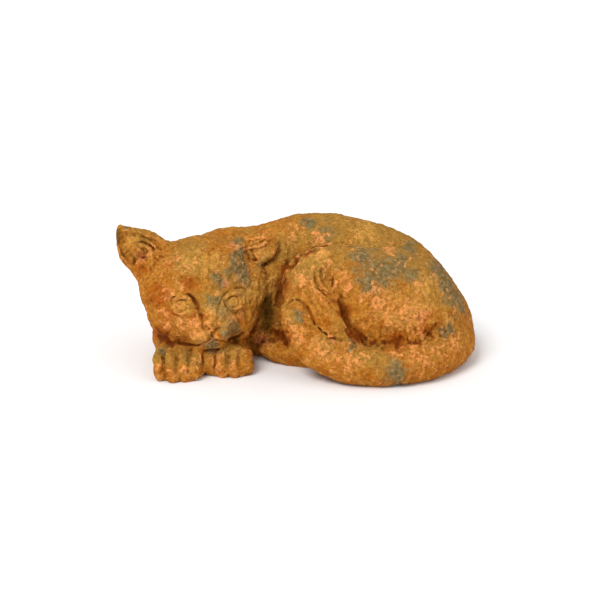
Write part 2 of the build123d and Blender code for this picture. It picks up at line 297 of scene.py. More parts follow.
# ----------------------------------------------------------------------------------------------------
# Modelling
# ----------------------------------------------------------------------------------------------------
def eye(centre, tilt, half_width, half_height, ball_out, toward):
    """An almond eye: a ball between two lids, with rings cut in it for the iris and the pupil.

    The ball stands out of the face by ball_out, and toward turns the eye towards the camera.
    """
    middle = on_clay([centre])[0]
    away = outward(middle, 7) - toward * LOOK
    away /= np.linalg.norm(away)
    along = np.cross(UP, away)
    along /= np.linalg.norm(along)
    rise = np.cross(away, along)
    along, rise = along * cos(tilt) + rise * sin(tilt), rise * cos(tilt) - along * sin(tilt)
    axes = np.stack((along, rise, away))
    ball_radius = 16.0
    room = half_width + 8  # enough for the lids
    part, places = window(middle - room, middle + room)
    u, v, w = ((places - middle) @ axis for axis in axes)
    almond = (np.sqrt((u / half_width) ** 2 + (v / half_height) ** 2) - 1) * half_height
    ball = np.sqrt(u * u + v * v + (w + ball_radius - ball_out) ** 2) - ball_radius
    block = carve(clay[part], np.maximum(almond, -ball), 1.2)
    block = join(block, np.maximum(ball, almond - 1.0), 0.8)
    across = np.hypot(u + 0.8, v * 1.1)
    for ring, width in ((5.4, 0.95), (2.4, 0.8)):  # iris, pupil
        block = carve(block, np.hypot(across - ring, ball) - width, 0.6)
    clay[part] = block
    angles = np.linspace(0.0, pi, 22)
    for side, thick, out in ((1, 1.6, 1.1), (-1, 1.0, 0.2)):  # upper lid, lower lid
        x = (half_width + 0.4) * np.cos(angles)
        y = side * (half_height + 0.3) * np.sin(angles) ** 0.85
        z = np.sqrt(ball_radius**2 - 0.8 * (x * x + y * y)) - ball_radius + ball_out + out * np.sin(angles)
        lid = np.stack((x, y, z), axis=1)
        shape_clay(middle + lid @ axes, thick * (0.55 + 0.45 * np.sin(angles)), 1.2)


def model_face():
    """Eyes, brows, nose, mouth, cheeks and forehead."""
    stroke([(-120, 19), (-108, 15.5), (-97, 14)], 8, 4.5, soft=7)  # full cheeks, down to the paws
    stroke([(-63, 16.5), (-57, 19), (-50, 25), (-45, 33)], 7, 3.5, soft=6)
    stroke([(-39, 76), (-37, 63), (-39, 50)], 9, 3.2, soft=7)
    stroke([(-24, 80), (-22.5, 68), (-24, 56)], 5, 1.5, soft=6, level=(-24.5, 66))
    sponge([(-40, 76), (-38, 63), (-40, 48)], 14, 3.2)
    sponge([(-120, 30), (-108, 22), (-90, 20), (-62, 24), (-50, 34)], 20, 3.2)
    stroke([(-77, 68), (-76.5, 50), (-76.5, 36)], 9, 1.2, soft=6)  # broad bridge of the nose
    sponge([(-104, 47), (-98, 47)], 18, 2.2)
    sponge([(-60, 50), (-54, 51)], 18, 2.2)
    eye((-101.2, 47.0), tilt=0.0, half_width=10.3, half_height=6.9, ball_out=1.2, toward=1.5)
    eye((-56.6, 50.6), tilt=0.22, half_width=10.0, half_height=6.6, ball_out=1.5, toward=0.5)
    # the folds over and under each eye, and the hollow from its inner corner to the nose
    stroke([(-113.2, 47.5), (-110, 53.4), (-102.6, 57.4), (-95.5, 56.4), (-90.2, 51.0)], 1.3, -1.9, soft=1)
    stroke([(-96, 57), (-89.6, 50), (-86.4, 41), (-83.5, 32)], 2.0, -2.2, soft=1.5)
    stroke([(-108, 38.5), (-101, 35.8), (-93.5, 39)], 1.3, -0.9, soft=1.5)
    stroke([(-68.6, 49.5), (-64, 57.8), (-56.5, 62.2), (-49, 62.4), (-45, 58.5)], 1.3, -1.8, soft=1)
    stroke([(-67.6, 50), (-69.5, 43), (-69.8, 35)], 1.6, -1.2, soft=1.5)
    stroke([(-62, 43), (-55, 40.6), (-48.5, 44.5)], 1.3, -0.8, soft=1.5)
    lump((-104, 61), 10, 0.9, soft=4)  # brows
    lump((-62, 65), 10, 0.9, soft=4)
    lump((-86, 20.5), 8, 1.2, soft=3)  # whisker pads
    lump((-66, 21.5), 8, 1.2, soft=3)
    stroke([(-88, 11.0), (-77, 12.6), (-66, 12.6)], 3.4, 1.4, soft=1.5)  # chin
    stroke([(-82, 31), (-77, 32.6), (-71, 30.8)], 2.3, 1.8)  # the nose
    stroke([(-77, 31), (-76.4, 26)], 2.8, 2.0)
    stroke([(-83.5, 31.5), (-83.6, 28.0), (-80.5, 25.4)], 1.2, -1.3, soft=0.7)
    stroke([(-74.4, 22.5), (-72.3, 25.8), (-69.4, 27.4), (-66.0, 27.6)], 1.3, -2.0, soft=0.7)
    lump((-78.3, 26.2), 1.8, -1.8, soft=0.7)
    stroke([(-75.9, 24.6), (-75.6, 21.0), (-74.2, 19.2)], 1.3, -2.0, soft=0.7)
    mouth_left = [
        (-74.2, 19.4), (-71.6, 17.2), (-68, 16.2), (-63.5, 16.8), (-57, 18.6), (-52, 20.8), (-48.5, 25.0),
    ]
    mouth_right = [(-76.5, 18.8), (-80.8, 15.6), (-86.4, 12.8), (-92.5, 12.2), (-98.5, 12.8), (-106, 14.2)]
    for mouth in (mouth_left, mouth_right):
        stroke(mouth, 1.4, -2.6, soft=0.7, count=20)
    for across, up in ((-90, 20), (-86, 23.5), (-88, 16.5), (-64, 23), (-60, 20), (-66, 26.5)):
        lump((across, up), 1.7, -0.6, soft=0.8)  # whisker dots
    # the hollow between the cheek and the paw
    stroke([(-129, 19), (-121, 16.5), (-111, 11.5)], 3.2, -2.8, soft=3)
    cheek_tufts()
    forehead_fur()


def cheek_tufts():
    """Ragged locks along the outline of the right cheek, and softer ones on the left."""
    for up in (66, 59, 52, 45, 38, 31, 25):
        reach = -137.5 + 0.0112 * (up - 60) ** 2
        lump((reach + 1.8, up + 1), 2.6, 1.2, soft=1.5)
        lump((reach + 1.5, up - 1.5), 1.8, 1.0, soft=1.2)
        stroke([(reach + 10, up + 5), (reach + 6, up + 1), (reach + 4, up - 4)], 2.2, 0.7, soft=1.5)
        stroke([(reach + 16, up + 5), (reach + 10, up - 1), (reach + 7, up - 6)], 1.0, -0.5, soft=1)
    for up in (68, 59, 50, 41, 33):
        reach = -33.5 - 0.014 * (up - 62) ** 2
        stroke([(reach - 7, up + 8), (reach - 4, up), (reach - 5, up - 7)], 2.4, 0.6, soft=2)
        stroke([(reach - 10, up + 7), (reach - 7, up), (reach - 8, up - 6)], 0.9, -0.4, soft=1)


def forehead_fur():
    """Short locks that run back over the forehead from between the eyes."""
    for side, lean in ((-1.25, -5.0), (-0.75, -2.8), (-0.2, -0.8), (0.35, 1.4), (0.9, 3.6), (1.4, 5.5)):
        root = -78 + 15 * side
        for up in (67, 76, 86):
            sway = 1.4 * sin(1.7 * up + 5 * side)
            tip = (root + 1.5 * lean + sway, up + 9)
            stroke([(root, up), (root + lean * 0.5 + sway, up + 5), tip], 2.6, 0.5, soft=2, count=8)
            parting = [(root + 3.2, up), (root + 3.2 + lean * 0.5 + sway, up + 4), (tip[0] + 3, tip[1] - 2)]
            stroke(parting, 0.8, -0.3, soft=0.8, count=8)
    stroke([(-97.3, 87), (-93.5, 82), (-89.5, 78), (-88, 73)], 1.8, 1.1)
    stroke([(-98.5, 77), (-96, 72.5), (-92, 71)], 1.5, 1.0)
    lump((-94, 77), 3, 0.7, soft=1.5)


def model_ears():
    """The rim, folds and foot of each ear."""
    foot = [(-127, 97), (-130, 90), (-135, 84), (-142, 81)]
    stroke([(-146, 104), (-140, 98), (-134, 92)], 7, 2.5, soft=5)
    stroke(foot, 6, 4.0, soft=5)  # the foot of the cup runs into the cheek
    sponge(foot, 12, 3.0)
    sponge([(-150, 104), (-142, 98), (-136, 92)], 10, 1.6)
    stroke([(-158.5, 112), (-154.9, 104), (-151.5, 98), (-146.7, 91.3), (-141.5, 84.5)], 1.1, -0.9, soft=1)
    stroke([(-151, 101), (-147, 95), (-143, 89.5), (-139.5, 84)], 2.6, 1.5, soft=1.5)
    stroke([(-143.5, 99.5), (-140.6, 97.4), (-137.8, 95.2), (-136.8, 91.5), (-134.4, 87)], 1.3, -1.2, soft=1)
    stroke([(-141, 100.3), (-136.5, 100), (-132, 97.2), (-130, 92.5), (-131, 86.5)], 1.7, 1.3)
    stroke([(-146, 102), (-139, 103.4), (-132.5, 101), (-128, 96), (-127, 89)], 1.1, -1.1, soft=0.8)
    stroke([(-145, 105), (-137.8, 106), (-131, 102.6), (-126, 97.6), (-124.5, 91)], 1.7, 0.9)
    rim = [(-156, 110.5), (-145, 108.4), (-136, 107.4), (-128.5, 102.6), (-122.5, 96.5)]
    stroke(rim, 1.2, -1.2, soft=0.9)
    lump((-139.2, 80.6), 2.4, -1.8, soft=1.2)
    for across in (-136, -132, -128, -123.5, -119):
        stroke([(across + 0.5, 85), (across, 80), (across + 1, 74)], 0.9, -0.8, soft=0.8, count=8)
    # the left ear, folded back on the shoulder
    stroke([(-24, 104), (-22.5, 98), (-24.5, 92), (-30, 87)], 3.0, 2.2, soft=3, level=(-28, 97))
    stroke([(-53, 97), (-44, 98), (-35, 100), (-28, 102)], 6, 4.5, soft=4)
    sponge([(-54, 96), (-44, 97), (-34, 99)], 12, 3.0)
    stroke([(-36, 93), (-30, 95)], 8, 1.8, soft=2.5)
    stroke([(-41.2, 98.4), (-35.8, 99.1), (-32.4, 101.1), (-27.6, 104.5), (-25.9, 107)], 1.4, 1.2, soft=0.8)
    stroke([(-41.5, 100.6), (-36, 101.4), (-32, 103.8), (-27.8, 107)], 1.2, -1.6, soft=0.8)
    stroke([(-39, 96.4), (-34, 97), (-29, 100), (-26, 103)], 0.9, -1.0, soft=0.8)
    stroke([(-43.5, 104), (-42.2, 98), (-40.8, 92.5), (-37.5, 87)], 1.4, -1.6, soft=1)
    stroke([(-46.5, 100), (-45.5, 94), (-43.5, 88)], 1.1, -1.0, soft=1)
    stroke([(-16.1, 109), (-12.7, 102.5), (-8.9, 95.7), (-9.3, 88.3), (-11.4, 84)], 1.3, -1.3, soft=1.2)
    stroke([(-20, 88), (-18, 80), (-20, 72)], 1.2, -0.9, soft=1.2)


def model_paws():
    """Round toes with creases between them."""
    stroke([(-90, 6), (-85.5, 5), (-80, 6)], 4, 3.5, soft=3)  # clay where the two wrists meet
    stroke([(-124, 7), (-113, 9), (-101, 9), (-90, 7)], 5, 2.2, soft=3)
    stroke([(-80, 6), (-68, 8), (-57, 8), (-49, 6)], 5, 2.2, soft=3)
    sponge([(-124, 4), (-104, 3), (-86, 2), (-68, 2), (-48, 4)], 19, 2.6)
    for across, up, foot in (
        (-123.5, 6, -9), (-112.3, 7, -11), (-101, 7, -12), (-90, 6, -9),
        (-79.5, 5, -8), (-68, 6, -9), (-57.2, 6, -9), (-48, 4, -6),
    ):
        stroke([(across, up), (across - 0.4, foot + 6)], 4.4, 1.2, soft=2.5, count=6)
        lump((across - 0.4, foot + 2), 4.4, 1.0, soft=2)
    for across, top, foot in (
        (-118.2, 9, -11), (-106.3, 10, -12), (-95.8, 9, -12), (-84.6, 7, -10),
        (-74.0, 8, -10), (-62.4, 9, -11), (-52.6, 8, -9),
    ):
        stroke([(across + 1.2, top - 2), (across + 0.3, 3), (across, -2)], 1.5, -0.6, soft=1.5)
        stroke([(across, 3), (across + 0.4, -4), (across - 0.4, foot)], 2.0, -1.5, soft=1.5)


def model_hind_leg():
    """The tail's round end, the folds above the hock, the crease round the thigh, and the haunch's fur."""
    stroke([(3, 47), (9, 40), (14, 33), (22, 25)], 8, 6.0, soft=6)  # clay between the tail and the shank
    sponge([(0, 50), (8, 40), (16, 30), (28, 22)], 10, 2.4)
    stroke([(-15, 27), (-12.5, 18), (-9, 11)], 3.5, -2.8, soft=3)
    stroke([(-13, 43), (-10.6, 47.5), (-6.8, 51), (-2, 52), (3.5, 49.5), (7.6, 43.5)], 1.2, -1.9, soft=1)
    over_tail = [(5.5, 47), (8.4, 43), (11.3, 36.5), (16, 29), (22.7, 23.2), (30, 18.6), (38, 16.3)]
    stroke(over_tail, 1.4, -2.0, soft=1, count=32)
    stroke([(33, 55.5), (36, 48.5), (38.5, 41), (41.5, 33), (45, 25), (49.5, 16.5)], 3.4, -2.6, soft=3)
    stroke([(30, 52), (33, 46), (35.2, 39), (37.5, 32), (42, 25.5), (47, 18.5), (51, 13)], 1.6, 1.0, soft=1.2)
    stroke([(25, 84), (25.5, 75), (28.3, 64)], 3.4, -3.0, soft=2.5)
    fold = [(16.9, 79), (16.5, 73.5), (17.4, 68), (19.8, 64), (24.5, 60), (29.3, 57.4), (31.7, 53)]
    stroke(fold, 1.8, 1.8, soft=0.8)
    stroke([(35, 77), (31.9, 66), (31, 61), (34, 55.5), (37.8, 49.8), (38.8, 44)], 1.7, 1.6, soft=0.8)
    stroke([(42, 76), (42.5, 67), (41, 60)], 7, 3.2, soft=2)
    stroke([(36, 55), (40, 53), (44, 54.5)], 1.6, -1.1, soft=1.5)
    stroke(fold, 1.3, 1.0, soft=0.8)  # again, over the clay laid beside it
    stroke([(19.5, 82), (19.3, 75), (21.3, 68), (26, 63)], 1.3, -1.8, soft=0.8)
    stroke([(30, 80), (29.4, 72), (28.6, 65), (30.6, 59)], 1.2, -1.6, soft=0.8)
    stroke([(14, 80), (13.4, 72), (15, 64), (20, 58.5), (25, 54)], 1.1, -1.4, soft=0.8)
    stroke([(36.5, 78), (35.2, 70), (34.4, 62)], 1.0, -1.2, soft=0.8)
    stroke([(24.5, 51.6), (27.4, 46.9), (31.2, 43.1), (35, 39.3)], 1.1, -1.5, soft=0.8)
    for across, up in (
        (12, 44), (15, 40), (17, 35.5), (14, 60), (8, 63), (5, 57), (11, 69), (2, 66), (20, 48),
    ):
        stroke([(across - 1, up + 2.5), (across + 0.6, up - 2.5)], 1.9, 0.7, soft=1, count=6)
    stroke([(28, 101.5), (44, 103.5), (62, 103.5), (80, 101)], 7, 2.0, soft=7)
    sponge([(16, 98), (34, 102), (60, 102.5), (88, 98), (112, 87)], 13, 4.5)
    stroke([(56, 17), (72, 15), (90, 16), (108, 22)], 4, 1.2, soft=4)
    sponge([(54, 19), (85, 17), (112, 24)], 9, 2.6)
    # the crease round the thigh
    stroke([(-16, 58), (-13, 68), (-9.2, 78), (-2, 87), (6, 94), (13, 98.5)], 3.4, -4.6, soft=3)
    stroke([(-14, 92), (-10, 86), (-9, 80)], 2.2, -2.0, soft=2)
    for i in range(17):  # a row of locks along the haunch, above the tail
        across = 55 + 3.6 * i + 1.3 * sin(5.1 * i)
        low = 16.5 + 0.0066 * (across - 78) ** 2 + 1.5 * sin(3.7 * i)
        lean = 0.10 * (across - 92) + 1.5 * sin(2.9 * i)
        high = low + 13 + 6 * sin(2.3 * i)
        parting = [(across - lean, high), (across - 0.2 * lean, low + 8), (across, low + 2)]
        stroke(parting, 1.2, -0.2, soft=1.2, count=8)
        beside = across + 1.8
        lock = [(beside - lean, high - 2), (beside - 0.3 * lean, low + 7), (beside, low + 3)]
        stroke(lock, 1.6, 0.35, soft=1.4, count=8)
    for across, up in (
        (62, 50), (70, 44), (58, 42), (81, 47), (92, 44), (76, 37), (66, 34), (88, 34), (100, 40),
    ):
        stroke([(across, up + 4), (across + 1.5, up), (across - 0.5, up - 4)], 2.0, 0.7, soft=1.4, count=8)
    stroke([(122, 33), (117, 26), (112, 19.5)], 2.2, -1.8, soft=2)  # where the rump meets the tail
    stroke([(133, 41), (137, 35), (142, 31)], 1.4, -1.2, soft=1)
    stroke([(126, 44), (130, 36), (128, 28)], 1.4, 0.9, soft=1)


def model_flank():
    """Locks of fur in the hollow between the head and the knee."""
    stroke([(-30, 50), (-27, 39), (-25, 28), (-23, 18)], 7, -5.0, soft=5)  # the hollow itself
    for i in range(5):
        for up in (24, 38, 52):
            across = -38 + 4.6 * i + 2.2 * sin(1.3 * up + i)
            if up < 66 - 3.5 * i:
                lock = [(across + 1.5, up + 8), (across + 1, up), (across - 2, up - 6)]
                stroke(lock, 2.2, 0.9, soft=1.2, count=8)
                parting = [(across + 4, up + 6), (across + 3, up), (across, up - 6)]
                stroke(parting, 1.0, -0.5, soft=0.8, count=8)


# ----------------------------------------------------------------------------------------------------
# Skin: lumps, chips and pits
# ----------------------------------------------------------------------------------------------------
NOISE_CELLS = 96
NOISE_WAVE = 8  # cells to a wavelength


def make_noise(seed):
    """A cube of even noise that repeats, from waves of one length in every direction."""
    random = np.random.default_rng(seed)
    white = random.standard_normal((NOISE_CELLS,) * 3)
    axis = np.fft.fftfreq(NOISE_CELLS)
    length = np.sqrt(axis[:, None, None] ** 2 + axis[None, :, None] ** 2 + axis[None, None, :] ** 2)
    band_width = 0.35  # how far the waves' lengths may stray, as a share
    pass_band = np.exp(-(((length * NOISE_WAVE) - 1) / band_width) ** 2)
    cube = np.fft.ifftn(np.fft.fftn(white) * pass_band).real
    return (cube / cube.std()).astype(np.float32)


noise_cube = make_noise(seed=4)


def noise(points, wave, turn=0.0):
    """Noise of a given wavelength at some points, about -2 to 2. Wave may differ along X, Y and Z."""
    place = points * (NOISE_WAVE / np.asarray(wave, float))
    c, s = cos(turn), sin(turn)
    place = np.stack((c * place[:, 0] - s * place[:, 2], place[:, 1] + 31 * turn,
                      s * place[:, 0] + c * place[:, 2]), axis=1)
    place = np.mod(place, NOISE_CELLS)
    cell = place.astype(np.int32)
    part = (place - cell).astype(np.float32)
    total = np.zeros(len(points), np.float32)
    for dx, dy, dz, weight in cell_corners(part):
        x, y, z = ((cell[:, axis] + step) % NOISE_CELLS for axis, step in enumerate((dx, dy, dz)))
        total += weight * noise_cube[x, y, z]
    return total


def ramp(value, low, high):
    """0 below low, 1 above high, and smooth between."""
    share = np.clip((value - low) / (high - low), 0, 1)
    return share * share * (3 - 2 * share)


def on_face(points):
    """1 on the face, 0 away from it."""
    across = points @ RIGHT
    up = points @ UP
    away = ((across + 80) / 46) ** 2 + ((up - 36) / 34) ** 2
    return ramp(away, 1.2, 0.6) * ramp(points[:, 1], 0, -20)


def crusts(points):
    """1 where old surface still stands, in clusters, and 0 where it has flaked away."""
    bent = points + 1.6 * noise(points, 7, 0.8)[:, None]
    cluster = ramp(noise(points, 36, 4.1), -1.0, 1.0)
    return ramp(noise(bent, 8.5, 2.9) + 1.2 * cluster, 1.1, 1.8)


def roughen():
    """Move the surface in and out, in millimetres: broad lumps, crusts of old surface, pits and fur."""
    skin = 2.2  # only cells this near to the surface are moved
    index = np.nonzero(np.abs(clay) < skin)
    points = np.stack([lines[axis][index[axis]] for axis in range(3)], axis=1).astype(np.float32)
    calm = 1 - 0.6 * on_face(points)  # the face is kept smoother
    move = calm * (0.30 * noise(points, 32, 0.3) + 0.20 * noise(points, 13, 1.1))
    move += calm * (0.45 * crusts(points) + 0.13 * noise(points, 4.2, 2.0))
    pits = noise(points, 3.6, 5.1)
    move -= calm * 0.4 * ramp(pits, 1.7, 2.2)
    fur = noise(points, (3.8, 3.8, 16.0), 0.15)
    low_haunch = ramp(points[:, 0], 35, 55) * ramp(points[:, 2], 75, 45) * ramp(points[:, 1], -20, -40)
    move += fur * (0.08 * calm + 0.12 * low_haunch)
    clay[index] -= move


# ----------------------------------------------------------------------------------------------------
# From clay to pieces
# ----------------------------------------------------------------------------------------------------
def add_mesh(name, points, faces, normals=None):
    """A mesh object from points in metres and faces of four corners."""
    mesh = bpy.data.meshes.new(name)
    mesh.vertices.add(len(points))
    mesh.vertices.foreach_set("co", points.astype(np.float32).ravel())
    mesh.loops.add(faces.size)
    mesh.loops.foreach_set("vertex_index", faces.astype(np.int32).ravel())
    mesh.polygons.add(len(faces))
    mesh.polygons.foreach_set("loop_start", np.arange(0, faces.size, 4, dtype=np.int32))
    mesh.polygons.foreach_set("loop_total", np.full(len(faces), 4, np.int32))
    mesh.update(calc_edges=True)
    mesh.shade_smooth()
    if normals is not None:
        mesh.normals_split_custom_set_from_vertices(normals)
    piece = bpy.data.objects.new(name, mesh)
    bpy.context.scene.collection.objects.link(piece)
    return piece


def add_attribute(piece, name, values):
    """A number for each point of the surface, which the material reads by name."""
    layer = piece.data.attributes.new(name, "FLOAT", "POINT")
    layer.data.foreach_set("value", values.astype(np.float32))


LAP = 0.8  # how far neighbours run into each other under a joint
SKIN = 8.0  # how far a piece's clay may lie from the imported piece


def cut_piece(node, nearest, second):
    """Cut the clay that belongs to one node out of the block: its field, and its mesh in millimetres.

    Past the middle of a joint a piece sinks below its neighbour's surface, so the two meet without a gap.
    """
    own = distances[node]
    past = (own - np.where(own <= nearest, second, nearest)) / 2
    field = np.maximum(clay + 0.5 * np.maximum(past, 0), past - LAP)
    field = np.clip(np.maximum(field, own - SKIN), -3 * VOXEL, 3 * VOXEL).astype(np.float32)
    grid = vdb.FloatGrid(3 * VOXEL)
    grid.copyFromArray(field, ijk=(0, 0, 0))
    points, _, faces = grid.convertToPolygons(isovalue=0.0, adaptivity=0.0)
    return field, points * VOXEL + corner, faces


def slope_at(field, points):
    """The direction out of a field at points."""
    offsets = np.eye(3) * 0.7 * VOXEL
    slope = np.stack([sample(field, points + way) - sample(field, points - way) for way in offsets], axis=1)
    return slope / np.maximum(np.linalg.norm(slope, axis=1), 1e-6)[:, None]


def make_piece(node, nearest, second):
    """One visible piece of the figurine, with what its material needs to know about its surface."""
    field, at, faces = cut_piece(node, nearest, second)
    outside = np.abs(sample(clay, at)) < 0.4 * VOXEL
    normals = np.where(outside[:, None], slope_at(clay, at), slope_at(field, at))
    piece = add_mesh("clay_" + node, at * MM, faces, normals)
    add_attribute(piece, "hollow_fine", (sample(shade_fine, at) - 0.5) * 2)
    add_attribute(piece, "hollow_deep", (sample(shade_deep, at) - 0.5) * 2)
    for name, blobs in PATCHES.items():
        add_attribute(piece, name, patch_share(at, blobs))
    add_attribute(piece, "crust", crusts(at))
    add_attribute(piece, "faces_up", ramp(normals[:, 2], -0.2, 0.9))
    piece.data.materials.append(weathered)
    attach(piece, "root")
    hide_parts(node)


# Where the patina differs, and where shade is painted into creases and recesses, as (across, up, radius) in
# the front plane.
PATCHES = {
    "bloom": [
        (-54, 94, 7), (-56, 84, 8), (-50, 75, 8), (-70, 70, 7), (-48, 64, 6), (-67, 44, 8), (-60, 32, 7),
        (-62, 25, 5), (-76, 54, 5), (-53, 103, 5), (-33, 86, 5), (56, 88, 12), (74, 76, 14), (60, 66, 9),
        (88, 82, 9), (98, 73, 8), (25, 113, 8), (124, 78, 11), (132, 64, 10), (139, 52, 9), (145, 44, 6),
        (1, 38, 6), (84, -12, 12), (130, 26, 9), (44, 12, 5), (-120, 7, 4), (-68, 5, 3), (-78, 12, 8),
        (-152, 114, 4), (8, 122, 7), (100, 100, 8),
    ],
    "olive": [
        (-26, 50, 15), (-28, 30, 12), (-20, 70, 12), (-42, 58, 11), (-70, 56, 14), (-92, 82, 18),
        (0, 72, 18), (-10, 96, 14), (20, 108, 24), (70, 108, 26), (104, 88, 22), (12, 84, 16),
        (-2, 36, 9), (20, 10, 10), (62, 2, 14), (120, 56, 16), (-118, 4, 8), (-98, 2, 8), (-62, 2, 10),
        (-140, 108, 12), (36, 22, 8), (-127, 2, 7), (-112, 1, 6), (-100, 1, 6), (-66, 0, 6), (-54, 0, 6),
    ],
    "fleck": [
        (-86, 85, 4), (-98, 80, 3), (-103, 53, 3), (-111, 56, 4), (-120, 40, 4), (-115, 28, 4),
        (-103, 34, 3), (-91, 32, 3), (11, 80, 4), (7, 69, 4), (24, 80, 3), (36, 73, 4), (39, 64, 5),
        (64, 79, 3), (64, 64, 3), (76, 61, 3), (80, 98, 4), (56, 56, 4), (92, 52, 4), (90, 42, 4),
        (104, 66, 4), (70, 50, 3), (112, 50, 3), (28, 104, 3), (16, 109, 4), (-6, 112, 4), (-30, 108, 4),
        (-24, 96, 3), (12, 14, 4), (19, 11, 3), (-3, 28, 4), (107, 4, 5), (121, 8, 4), (60, 2, 3),
        (84, 6, 3), (-60, -5, 3), (-75, -6, 3), (-120, -8, 3), (-101, -10, 3), (52, 110, 3), (44, 99, 3),
        (96, 84, 3), (118, 76, 3), (-44, 100, 3), (-72, 60, 3), (-56, 40, 3),
    ],
    "gold": [
        (-36, 100, 9), (-30, 92, 8), (-42, 92, 6), (-142, 97, 9), (-148, 104, 7), (-92, 84, 12),
        (-74, 86, 10), (-62, 50, 12), (-48, 58, 8), (-66, 31, 8), (-76, 40, 8), (-100, 47, 9),
        (60, 112, 16), (20, 92, 8), (112, 66, 12), (90, 38, 14), (70, 40, 10), (108, 42, 10),
        (-24, 66, 8), (134, 34, 8), (-86, 22, 11),
    ],
    # Mossy dark green-brown with painted shade: in the hollow between the head and the knee, where shade
    # falls, and along the right ear's rim.
    "moss_and_shade": [
        (-30, 50, 8), (-28, 40, 9), (-26, 28, 8), (-161, 113, 4), (-161, 107, 4), (-160, 101, 4),
        (-156, 94, 3),
    ],
    # Creases and recesses whose colour is darkened with painted shade and staining, among them the recess
    # under the right cheek.
    "crease": [
        (-18, 48, 5), (-18, 54, 5), (-18, 60, 5), (-17, 66, 5), (-15.5, 71, 4), (-13.5, 76, 4),
        (-10, 80.5, 3.5), (-6, 84.5, 3), (-2, 88.5, 3), (3, 92, 3), (8, 95, 3), (13, 98, 3), (20, 100, 3),
        (30, 58, 3), (33, 53, 4), (36, 46, 5), (40, 38, 5), (44, 29, 5), (48, 21, 5), (54, 16, 4),
        (-124, 20, 6), (-115, 17, 6), (-108, 13, 4), (-14, 24, 4), (-11, 16, 4), (66, 16, 3),
        (76, 13.5, 3), (86, 13, 3), (98, 15, 3), (114, 22, 3), (-38, 30, 4), (-42, 24, 4), (-128, 84, 3),
        (-122, 88, 3), (-91, 52, 2.5), (-88, 46, 2.5), (-86, 39, 2.5),
    ],
    "blush": [
        (-65, 70, 5), (109, 38, 8), (-137.5, 89, 4), (30, 18, 7), (26, 88, 4), (-36, 14, 7),
        (-58, 100, 5),
    ],
    # Rusty red-orange with painted shade: most of these lie in creases and recesses, such as under the right
    # cheek and along the thigh's crease, where shade falls.
    "rust_and_shade": [
        (-126, 21, 9), (-116, 17, 8), (-138, 80, 6), (-14, 20, 9), (38, 42, 8), (50, 18, 7), (84, 15, 12),
        (-112, 84, 7), (-14, 62, 7), (-10, 76, 5), (-3, 87, 5), (7, 95, 5), (-90, 38, 7), (-124, 56, 12),
        (112, 26, 7), (-95, 66, 8), (-112, 40, 8),
    ],
    "peach": [
        (-112, 38, 9), (-96, 30, 10), (-80, 24, 11), (-137, 92, 4), (-118, 56, 6), (-100, 60, 7),
        (-86, 26, 8), (-50, 38, 7), (-108, 88, 7), (41, 64, 8), (12, 62, 9), (4, 74, 8), (88, 40, 16),
        (108, 44, 13), (68, 44, 12), (-2, 22, 9), (14, 4, 12), (40, -2, 12), (108, 4, 16), (136, 14, 12),
        (-90, 0, 6), (-74, 0, 6), (-122, -11, 5), (-110, -12, 5), (-100, -12, 5), (-68, -10, 5),
        (-57, -10, 5), (-36, 102, 8), (-36, 94, 6), (-147, 88, 7), (-132, 98, 7), (20, 100, 8),
        (-5, 112, 10), (60, 58, 8),
    ],
}


def patch_share(points, blobs):
    """How much of a patch there is at each point, 0 to 1."""
    across = points @ RIGHT + 2.2 * noise(points, 14, 0.7)
    up = points @ UP + 2.2 * noise(points, 14, 1.9)
    bare = np.ones(len(points))
    for x, y, radius in blobs:
        bare *= 1 - np.exp(-((across - x) ** 2 + (up - y) ** 2) / radius**2)
    facing = ramp(-(points @ LOOK), -60, -20)
    return (1 - bare) * facing


